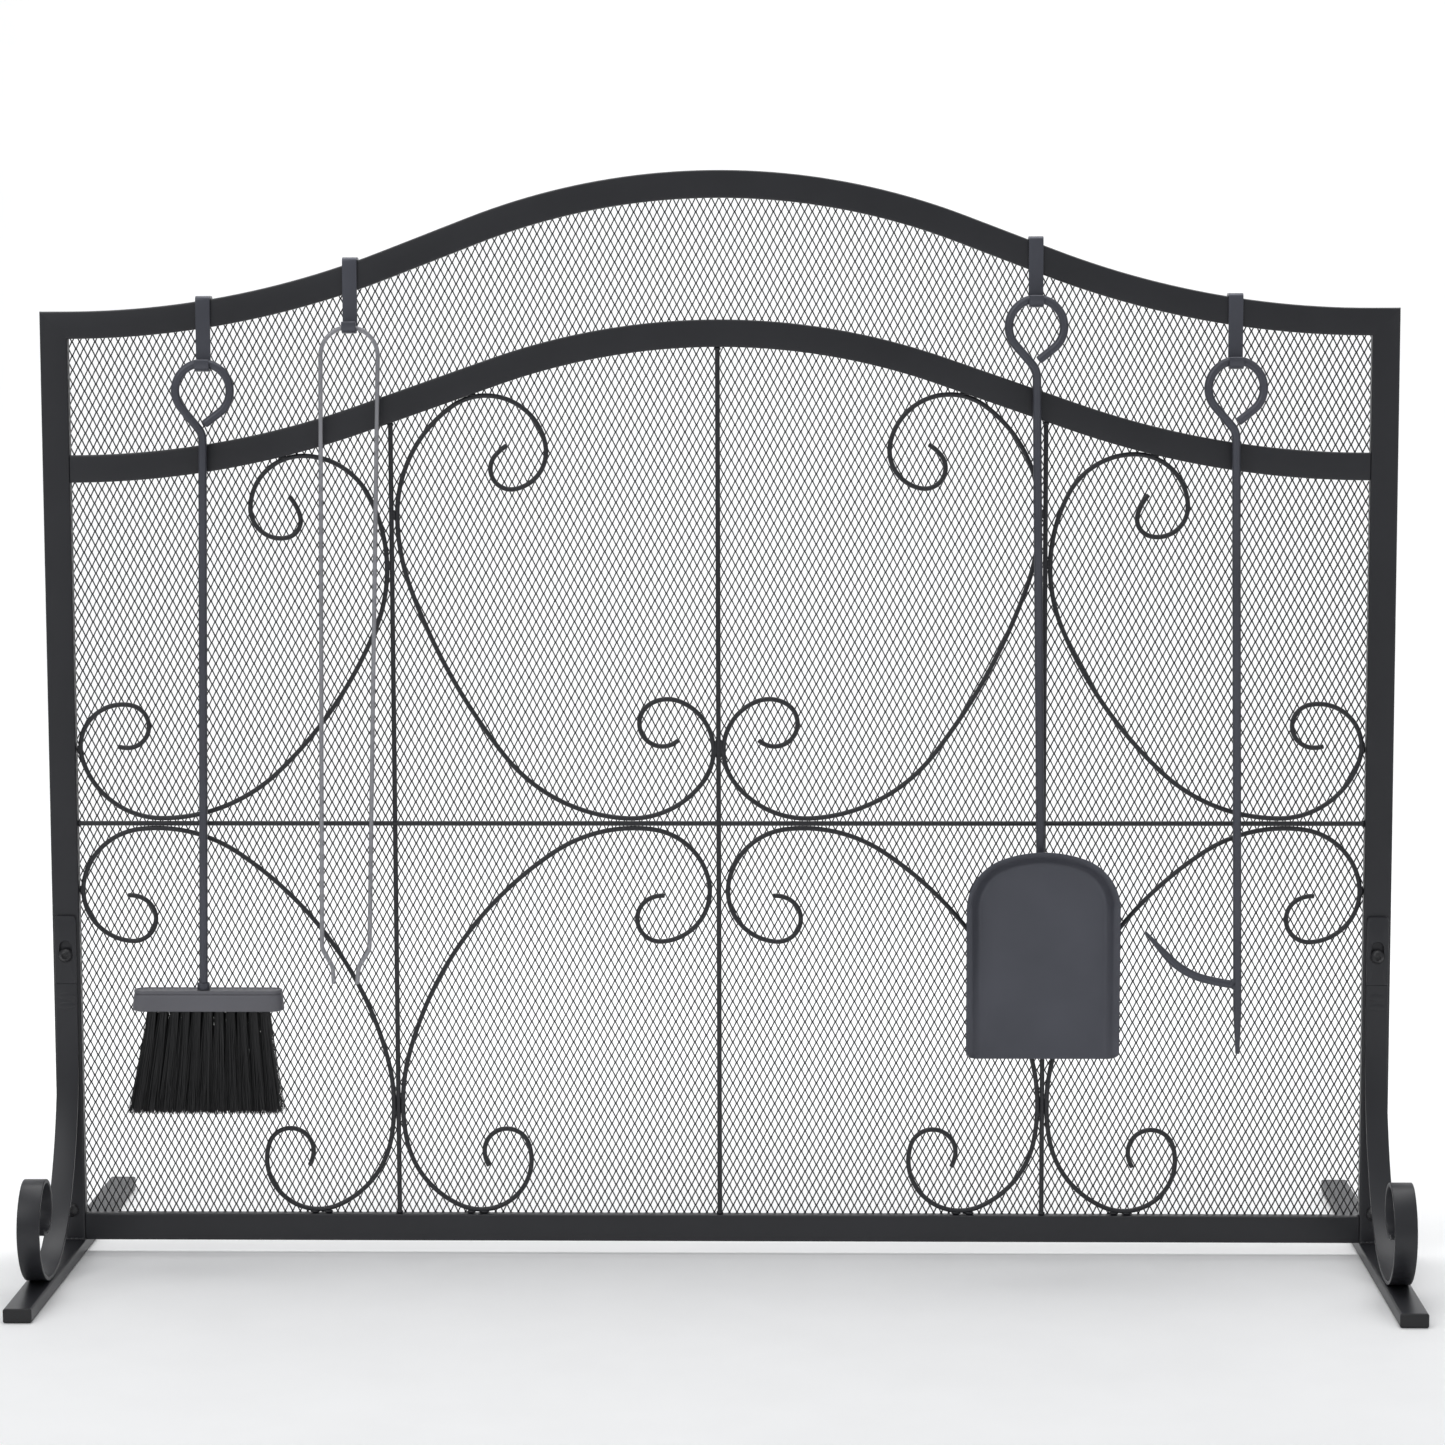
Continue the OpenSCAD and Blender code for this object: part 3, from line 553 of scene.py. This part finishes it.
# ---------- hooks and tools ----------
def hooks():
    """Strip hooks: short leg behind the rail, over its top and down to the cradle."""
    section = round_rect(HOOK_T, HOOK_W, 0.4)
    for tool, (x, height) in HOOKS.items():
        top = hook_top(tool) - HOOK_T / 2
        steps = [(REAR_LEG, 0), (HOOK_BEND, -90), (HOOK_U + HOOK_REAR_U - 2 * HOOK_BEND, 0),
                 (HOOK_BEND, -90), (height - HOOK_T - HOOK_BEND - CRADLE_R, 0), (CRADLE_R, 180),
                 (LIP, 0)]
        poses = even(walk(-HOOK_REAR_U, top - HOOK_BEND - REAR_LEG, 90, steps, sag=0.01), 8.0)
        build(tool + "_hook_look", Shape().sweep(poses, section, in_side(x), edge=0.4), TOOL,
              tool + "_hook_body", ["hook_" + tool])


def eye_steps(drop):
    """Straight shaft, bend at the neck and the open round of the eye, from the foot upwards."""
    a = math.radians(NECK_A)
    neck_len = (EYE_R * math.cos(a) - NECK_R * (1 - math.cos(a))) / math.sin(a)
    eye_drop = EYE_R + (EYE_R + NECK_R) * math.sin(a) + neck_len * math.cos(a)
    return [(drop - eye_drop, 0), (NECK_R, NECK_A), (neck_len, 0), (EYE_R, -EYE_TURN),
            (EYE_TAIL, 0)]


def handle(tool, drop):
    """Rod with its hanging eye, down to drop below the rest point."""
    poses = even(walk(0, -drop, 90, eye_steps(drop)))
    return Shape().sweep(poses, circle(TOOL_R, 24), hung(tool, TOOL_R), edge=0.7)


def brush_collar(foot_x):
    """Ring round the foot of the shaft."""
    collar = Shape()
    profile = [(4.7, 0.0), (4.7, 4.3), (4.5, 4.8), (4.1, 5.0), (3.5, 5.0), (3.25, 4.6), (3.25, 0.0)]
    rows = [collar.ring([(foot_x + r * c, TOOL_Y + r * s, BLOCK_Z + up) for c, s in circle(1.0, 32)])
            for r, up in profile]
    collar.tube_skin(rows, 32)
    build("brush_collar_look", collar, TOOL, "brush", ["brush_collar"])


def brush_block(low):
    """Block with round ends, a groove under its top and a slight flare at its foot."""
    shape = Shape()
    corner_steps = 12
    levels = [(0.0, 0.2), (0.4, -0.8), (1.2, -1.2), (11.6, 0.0), (12.4, 0.3), (12.6, 0.8),
              (13.2, 0.8), (13.4, 0.2), (BLOCK_H - 0.3, 0.2), (BLOCK_H, 0.6), (BLOCK_H, 1.5),
              (BLOCK_H - 0.5, 1.9)]
    rows = []
    for up, inset in levels:
        ring = round_rect(BLOCK_W - 2 * inset, BLOCK_D - 2 * inset, BLOCK_D / 2 - inset - 0.1,
                          corner_steps)
        rows.append(shape.ring([(BLOCK_X + a, TOOL_Y + b, low + up) for a, b in ring]))
    n = 4 * (corner_steps + 1)
    shape.skin(rows, n)
    shape.fan(rows[0], n, flip=True)
    shape.fan(rows[-1], n)
    build("brush_block_look", shape, BLOCK, "brush", ["brush_block"], sharp=50)


def brush_hair(low):
    """Two rows of tufts; each hair leans out with its tuft, bows a little and gets thinner."""
    hair = Shape()
    rng = random.Random(7)
    reach, hairs, radius = low - BRISTLE_Z, 230, 0.2
    for i in range(TUFTS):
        for row in (-1, 1):
            place = i - (TUFTS - 1) / 2
            cx = BLOCK_X + place * TUFT_STEP
            cy = TOOL_Y + row * BLOCK_D / 4
            run = place * (TUFT_FLARE - TUFT_STEP)
            for _ in range(hairs):
                a, r = rng.uniform(0, 2 * math.pi), math.sqrt(rng.random())
                ru, rv = r * math.cos(a), r * math.sin(a)
                length = reach * rng.uniform(0.965, 0.998)
                wave = rng.uniform(-1.2, 1.2)
                foot = (cx + 3.3 * ru, cy + 2.6 * rv)
                tip = (cx + run + 6.0 * ru + rng.uniform(-2, 2) - 3.0, cy + row * 1.2 + 4.6 * rv)
                rows = []
                for s in (0.0, 0.35, 0.7, 1.0):
                    ease = s ** 1.15
                    px = foot[0] + (tip[0] - foot[0]) * ease + wave * math.sin(math.pi * s)
                    py = foot[1] + (tip[1] - foot[1]) * ease
                    w = radius * (1 - 0.45 * s)
                    pz = low + 1.0 - (length + 1.0) * s
                    rows.append(hair.ring([(px + w, py, pz), (px - w * 0.5, py + w * 0.87, pz),
                                           (px - w * 0.5, py - w * 0.87, pz)]))
                hair.skin(rows, 3)
    build("brush_hair", hair, BRISTLE, "brush", ["brush_bristles"], sharp=90)


def brush():
    z, lean = rest_z("brush", TOOL_R), math.radians(LEAN["brush"])
    drop = (z - BLOCK_Z) / math.cos(lean) - 0.05
    build("brush_handle_look", handle("brush", drop), TOOL, "brush", ["brush_handle"])
    brush_collar(HOOKS["brush"][0] - (z - BLOCK_Z) * math.tan(lean))
    brush_block(BLOCK_Z - BLOCK_H)
    brush_hair(BLOCK_Z - BLOCK_H)


def tongs():
    """Bow over the hook and two long legs that end in a kink."""
    bow_r, spread = 20.9, 0.43
    section = circle(TONGS_R, 20)
    place = hung("tongs", TONGS_R)
    bow = Shape().sweep(walk(-bow_r, -bow_r, 90, [(bow_r, -180)], sag=0.008), section, place,
                        edge=0.0)
    build("tongs_bow_look", bow, TONGS, "tongs", ["tongs_bow"])
    steps = [(434, 0), (10, 30), (10, 0), (14, -27), (9, 0)]
    for side, name in ((-1, "left"), (1, "right")):
        poses = even(walk(-bow_r, -bow_r, spread - 90, steps))
        if side > 0:
            poses = [(-u, v, math.pi - h) for u, v, h in poses]
        build(f"tongs_{name}_look", Shape().sweep(poses, section, place, edge=0.4), TONGS,
              "tongs_" + name, [f"tongs_{name}_arm"])


def pan_outline(set_in, angle):
    """Point of the pan's outline whose normal points at the angle; sides and top move in by
    set_in, the lower edge stays."""
    half, top, foot_r = PAN_W / 2 - set_in, PAN_TOP - set_in, 6.0
    side_r, crown = 40.0 - set_in, 90.0 - set_in
    side_x = half - side_r
    side_z = top - crown + math.sqrt((crown - side_r) ** 2 - side_x ** 2)
    c, s = math.cos(angle), math.sin(angle)
    if s > 0 and abs(c) < side_x / (crown - side_r):
        cx, cz, r = 0.0, top - crown, crown
    elif s > 0:
        cx, cz, r = math.copysign(side_x, c), side_z, side_r
    else:
        cx, cz, r = math.copysign(half - foot_r, c), PAN_BOTTOM + foot_r, foot_r
    return cx + r * c, cz + r * s


def shovel():
    z = rest_z("shovel", TOOL_R)
    build("shovel_handle_look", handle("shovel", z - 290.0), TOOL, "shovel", ["shovel_handle"])
    # the walls slope out to the rim, get lower towards the open lower edge and end at its corners
    x, back, deep, slope, thick = HOOKS["shovel"][0] + 7.1, TOOL_Y - TOOL_R, 13.0, 9.5, 1.2
    low_wall, wall_gain, corner_run, mouth = 8.0, 0.0437, 0.75, 0.03
    n = 180
    angles = [2 * math.pi * (i + 0.5) / n - math.pi / 2 for i in range(n)]
    outside = [(0.0, 1.6), (0.03, 0.5), (0.12, 0.0), (0.5, 0.0), (0.94, 0.0), (0.99, 0.1)]
    levels = [(s, slope * (1 - s) + round_off, 0.0) for s, round_off in outside]
    levels += [(1.0, 0.5, 0.3), (0.99, 1.1, 0.5)]
    levels += [(s, slope * (1 - s) + round_off + 1.0, thick)
               for s, round_off in [(0.92, 0.0), (0.5, 0.0), (0.14, 0.0), (0.05, 0.5), (0.0, 1.7)]]
    shape = Shape()
    rows = []
    for s, set_in, front in levels:
        ring = []
        for a in angles:
            low = pan_outline(0.0, a)[1]
            height = min(1.0, (low_wall + wall_gain * (low - PAN_BOTTOM)) / deep)
            if math.sin(a) < 0:
                height *= min(1.0, max(0.0, math.sin(a) + 1.0) / corner_run)
                if math.cos(a) ** 2 < mouth:
                    height = 0.0
            u, v = pan_outline(set_in, a)
            ring.append((x + u, back - deep * s * height - front, v))
        rows.append(shape.ring(ring))
    shape.skin(rows, n)
    shape.fan(rows[0], n, flip=True)
    shape.fan(rows[-1], n)
    build("shovel_pan_look", shape, TOOL, "shovel", ["shovel_pan"], sharp=55)


def poker():
    z = rest_z("poker", TOOL_R)
    taper, tip_z = 33.0, 154.3
    shape = handle("poker", z - tip_z - taper)
    place = hung("poker", TOOL_R)
    shape.sweep(even(walk(0, tip_z - z, 90, [(taper + 0.7, 0)]), 4.0), circle(TOOL_R, 24), place,
                edge=0.3, scale=lambda f: 0.5 + 0.5 * f)
    build("poker_handle_look", shape, TOOL, "poker", ["poker_handle"])
    # claw: curved away from the shaft and up, thinned over its last stretch, with its weld
    hook_z, root, tip, length = 206.0, 3.05, 24.0, 78.3
    at = HOOKS["poker"][0] + (z - hook_z) * math.tan(math.radians(-LEAN["poker"]))
    poses = even(walk(at - TOOL_R - 0.3, hook_z, 172, [(190, -6), (58, -34), (tip, 0)]), 3.0)
    claw = Shape().sweep(poses, circle(root, 20), lambda u, v, b: (u, TOOL_Y + b, v), edge=0.3,
                         scale=lambda f: 1 - 0.65 * max(0.0, f - 1 + tip / length) * length / tip)
    for dx, dz, k in ((-4.2, 0.8, 3), (-2.6, -1.8, 4), (-3.0, 2.2, 5)):
        claw.blob((at + dx, TOOL_Y, hook_z + dz), (2.3, 3.4, 2.3), k)
    build("poker_claw_look", claw, TOOL, "poker", ["poker_side_hook"], sharp=60)


# ---------- studio ----------
def studio():
    """Pale floor that curves up into a backdrop, with large soft lights."""
    profile = [(-7.0, 0.0), (2.2, 0.0)]
    profile += [(2.2 + 1.6 * math.sin(a), 1.6 - 1.6 * math.cos(a))
                for a in [math.pi / 2 * i / 16 for i in range(1, 17)]]
    profile.append((3.8, 7.0))
    verts = [(x, y, z - 0.0002) for y, z in profile for x in (-7.0, 7.0)]
    faces = [(2 * i, 2 * i + 1, 2 * i + 3, 2 * i + 2) for i in range(len(profile) - 1)]
    mesh = bpy.data.meshes.new("floor")
    mesh.from_pydata(verts, [], faces)
    mesh.polygons.foreach_set("use_smooth", [True] * len(mesh.polygons))
    mesh.materials.append(
        node_material("floor_paint", (0.93, 0.93, 0.93), 0.8, shade=0.01, bump=0.02))
    floor = bpy.data.objects.new("floor", mesh)
    bpy.context.scene.collection.objects.link(floor)
    lights = [("key", (-2.2, -2.6, 2.6), 2.4, 30.0, (0, 0, 0.4)),
              ("fill", (2.6, -2.4, 1.6), 2.0, 7.0, (0, 0, 0.4)),
              ("top", (0.0, 0.2, 3.2), 2.6, 40.0, (0, 0, 0.0)),
              ("back", (0.0, 0.9, 2.6), 3.0, 62.0, (0, 3.8, 0.6))]
    for name, at, size, power, target in lights:
        data = bpy.data.lights.new(name, "AREA")
        data.energy, data.size = power, size
        obj = bpy.data.objects.new(name, data)
        bpy.context.scene.collection.objects.link(obj)
        obj.location = at
        aim = np.array(target) - np.array(at)
        obj.rotation_euler = Vector(aim).to_track_quat("-Z", "Y").to_euler()
    world = bpy.data.worlds.new("studio")
    world.use_nodes = True
    world.node_tree.nodes["Background"].inputs["Color"].default_value = (0.95, 0.97, 1.0, 1.0)
    world.node_tree.nodes["Background"].inputs["Strength"].default_value = 0.42
    bpy.context.scene.world = world
    bpy.context.scene.view_settings.view_transform = "Standard"


def camera():
    """Stands a little to the right of the middle and looks slightly down and to the left."""
    data = bpy.data.cameras.new("camera")
    data.sensor_width = 36.0
    data.lens = 94.27
    obj = bpy.data.objects.new("camera", data)
    bpy.context.scene.collection.objects.link(obj)
    obj.location = (0.06985, -2.76949, 0.69582)
    pitch, yaw, roll = 0.10675, -0.02413, -0.00289
    obj.matrix_world = (Matrix.Translation(obj.location)
                        @ Euler((math.pi / 2 - pitch, 0.0, -yaw), "XYZ").to_matrix().to_4x4()
                        @ Matrix.Rotation(roll, 4, "Z"))
    bpy.context.scene.camera = obj


camera()
studio()
frame_tubes()
feet()
straps()
screws()
rods_and_scrolls()
welds()
mesh_sheet()
hooks()
brush()
tongs()
shovel()
poker()
